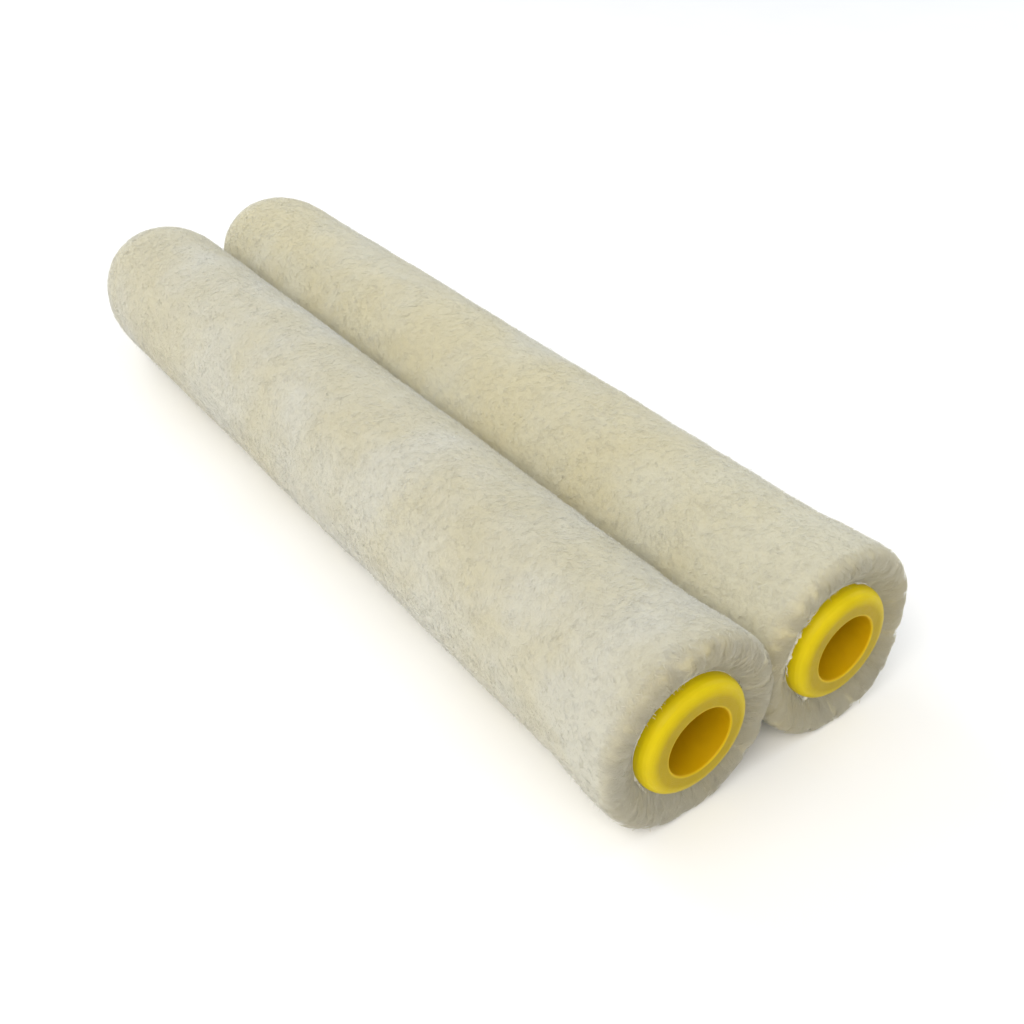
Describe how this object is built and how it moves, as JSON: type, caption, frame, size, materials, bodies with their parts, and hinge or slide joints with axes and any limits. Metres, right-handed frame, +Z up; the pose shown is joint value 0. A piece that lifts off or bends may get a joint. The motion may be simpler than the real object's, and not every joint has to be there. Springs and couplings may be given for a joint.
{
  "type": "paint roller refill sleeves",
  "caption": "Plush refill sleeves for a small paint roller, side by side, each with a rounded closed end and a yellow bored cap for the frame's wire arm.",
  "frame": {"origin": "bottom centre of the pair of sleeves", "axes": "+X along the sleeves towards their capped ends, +Y from the front sleeve to the rear one, +Z up"},
  "size_m": [0.2516, 0.0748, 0.0373],
  "materials": {
    "front_plush": "plush pile, near white",
    "rear_plush": "plush pile, cream",
    "cap_plastic": "satin moulded yellow",
    "core_plastic": "natural polypropylene",
    "backing_cloth": "plain weave",
    "glue": "clear-set hot glue"
  },
  "bodies": {
    "front_sleeve": {"front_cap": "cap_plastic", "front_core_tube": "core_plastic", "front_cover_backing": "backing_cloth", "front_cover_pile": "front_plush", "front_end_former": "core_plastic", "front_arm_bush": "core_plastic", "front_glue_bead": "glue"},
    "rear_sleeve": {"rear_cap": "cap_plastic", "rear_core_tube": "core_plastic", "rear_cover_backing": "backing_cloth", "rear_cover_pile": "rear_plush", "rear_end_former": "core_plastic", "rear_arm_bush": "core_plastic", "rear_glue_bead": "glue"}
  },
  "joints": [
    {"name": "rear_sleeve_roll", "type": "hinge", "parent": "front_sleeve", "child": "rear_sleeve", "pos_m": [-0.0006, 0.0188, 0.01865], "axis": [1, 0, 0], "continuous": true}
  ]
}
